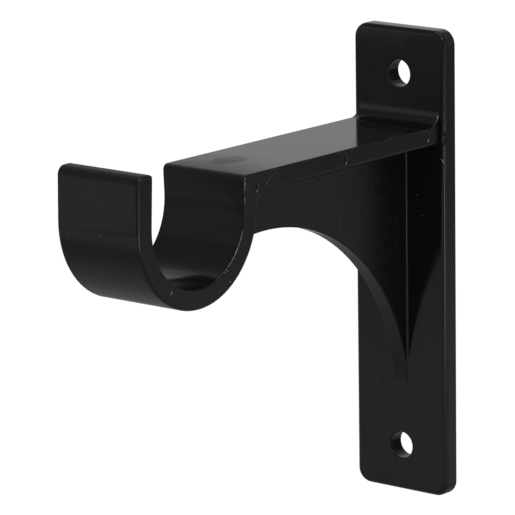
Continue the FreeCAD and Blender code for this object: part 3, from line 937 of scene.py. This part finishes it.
def light_by_distance(tree):
    """The floor's brightness in the gloss, from the curve of FLOOR_LIGHT."""
    spot = tree.nodes.new("ShaderNodeTexCoord")
    distance = tree.nodes.new("ShaderNodeVectorMath")
    distance.operation = "LENGTH"
    tree.links.new(spot.outputs["Object"], distance.inputs[0])
    brightness = tree.nodes.new("ShaderNodeFloatCurve")
    curve = brightness.mapping.curves[0]
    curve.points[0].location = FLOOR_LIGHT[0]
    curve.points[-1].location = FLOOR_LIGHT[-1]
    for place, level in FLOOR_LIGHT[1:-1]:
        curve.points.new(place, level)
    brightness.mapping.update()
    share = math_node(tree, "DIVIDE", distance.outputs["Value"], FLOOR_RADIUS)
    tree.links.new(share, brightness.inputs["Value"])
    return brightness.outputs["Value"]


levels = [level for place, level in FLOOR_LIGHT]
print("the floor's darkest ring", min(levels), "and its brightest", max(levels))

# %% Paper for the floor
PAPER = (0.84, 0.81, 0.77, 1.0)
WARM = (1.0, 0.97, 0.94, 1.0)
# The floor is white for the camera, apart from a share that keeps the part's shadow
CAMERA_WHITE = 1.16
CAMERA_SHARE = 0.85
GLOSS_SHARE = 0.9


def build_paper():
    """Pale paper that is white for the camera, and as bright in the gloss as its curve says."""
    paper = bpy.data.materials.new("pale_paper")
    paper.use_nodes = True
    tree = paper.node_tree
    tree.nodes.clear()
    seen = tree.nodes.new("ShaderNodeLightPath")
    pale = add_node(tree, "ShaderNodeBsdfDiffuse", "paper", Color=PAPER)
    white = add_node(tree, "ShaderNodeEmission", "white for the camera", Color=WHITE, Strength=CAMERA_WHITE)
    warm = add_node(tree, "ShaderNodeEmission", "seen in the gloss", Color=WARM)
    tree.links.new(light_by_distance(tree), warm.inputs["Strength"])
    for_gloss = tree.nodes.new("ShaderNodeMixShader")
    gloss_share = math_node(tree, "MULTIPLY", seen.outputs["Is Glossy Ray"], GLOSS_SHARE)
    tree.links.new(gloss_share, for_gloss.inputs["Fac"])
    tree.links.new(pale.outputs["BSDF"], for_gloss.inputs[1])
    tree.links.new(warm.outputs["Emission"], for_gloss.inputs[2])
    for_camera = tree.nodes.new("ShaderNodeMixShader")
    camera_share = math_node(tree, "MULTIPLY", seen.outputs["Is Camera Ray"], CAMERA_SHARE)
    tree.links.new(camera_share, for_camera.inputs["Fac"])
    tree.links.new(for_gloss.outputs["Shader"], for_camera.inputs[1])
    tree.links.new(white.outputs["Emission"], for_camera.inputs[2])
    out = tree.nodes.new("ShaderNodeOutputMaterial")
    tree.links.new(for_camera.outputs["Shader"], out.inputs["Surface"])
    return paper


pale_paper = build_paper()
print("material", pale_paper.name)

# %% Floor
FLOOR_HEIGHT = -0.30
FLOOR_SIDES = 96
PART_MIDDLE = Vector((0.0, -0.05, 0.0))
disc = bmesh.new()
bmesh.ops.create_circle(disc, cap_ends=True, radius=FLOOR_RADIUS, segments=FLOOR_SIDES)
pale_floor = piece_from_shape("pale_floor", disc)
pale_floor.location = (PART_MIDDLE.x, PART_MIDDLE.y, FLOOR_HEIGHT)
pale_floor.data.materials.append(pale_paper)
print("floor at", FLOOR_HEIGHT)

# %% [markdown]
# ## Lamps
# One large lamp from above would light the part, but gloss shows a lamp only in the faces that mirror it.
# So the lamps are placed by what each face mirrors. The tops see a large box at the left rear, the rounds
# along the upper edges see a box above, and the rounds between front and side see a box at the right,
# while the flat fronts and sides see the floor. A small bright box high on the right makes the glints.
# Three cards close to the part lift the lip's face, the round between arm and plate, and the plate's edge.

# %% Boxes and cards
LIP_FACE = Vector((0.0, LIP_FRONT * MM, ARM_TOP * MM))
ROOT_ROUND = Vector((0.0, -5.0 * MM, 33.5 * MM))
PLATE_EDGE = Vector((12.5 * MM, PLATE_FRONT * MM, 0.0))


def soft_box(name, direction, distance, width, height, brightness, aim=PART_MIDDLE):
    """A rectangular lamp that looks at the part. Brightness 1 would photograph as white paper."""
    lamp = bpy.data.lights.new(name, "AREA")
    lamp.shape = "RECTANGLE"
    lamp.size = width
    lamp.size_y = height
    lamp.energy = brightness * math.pi * width * height
    box = bpy.data.objects.new(name, lamp)
    spot = aim + Vector(direction).normalized() * distance
    box.location = spot
    box.rotation_euler = (aim - spot).to_track_quat("-Z", "Y").to_euler()
    box.visible_camera = False
    scene.collection.objects.link(box)
    print("lamp", name, "energy", round(lamp.energy, 3))


soft_box("left_rear_box", (-0.62, 0.75, 0.34), distance=1.3, width=1.5, height=0.9, brightness=0.275)
soft_box("top_box", (0.0, -0.1, 1.0), distance=1.2, width=1.0, height=1.0, brightness=0.6)
soft_box("glint_box", (0.60, -0.30, 0.72), distance=1.2, width=0.12, height=0.12, brightness=40.0)
soft_box("right_box", (0.95, 0.10, -0.12), distance=1.2, width=0.7, height=1.0, brightness=0.4)
soft_box(
    "lip_card", (-0.654, -0.736, -0.174), distance=0.05, width=0.023, height=0.018, brightness=0.2,
    aim=LIP_FACE,
)
soft_box(
    "fillet_card", (-0.66, -0.70, 0.30), distance=0.065, width=0.036, height=0.028, brightness=0.23,
    aim=ROOT_ROUND,
)
soft_box(
    "plate_edge_card", (0.75, -0.62, -0.19), distance=0.36, width=0.10, height=0.078, brightness=2.2,
    aim=PLATE_EDGE,
)

# %% [markdown]
# ## The pieces and the part
# Each piece is tied to the body that it moves with, and the CAD solid, which the moulding copies, is
# hidden.

# %% Tie the pieces to the part
thin_pieces = [rim_flash, rim_beads, pin_burrs, pin_glints, edge_scratch, root_glint, side_fibre, web_fibre]
for piece in [moulding, arch_run_out, dust, rim_specks] + thin_pieces:
    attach(piece, "root")
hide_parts("bracket")
print("pieces tied to the part:", len(thin_pieces) + 4)

# %% Colour view
scene.view_settings.view_transform = "Standard"
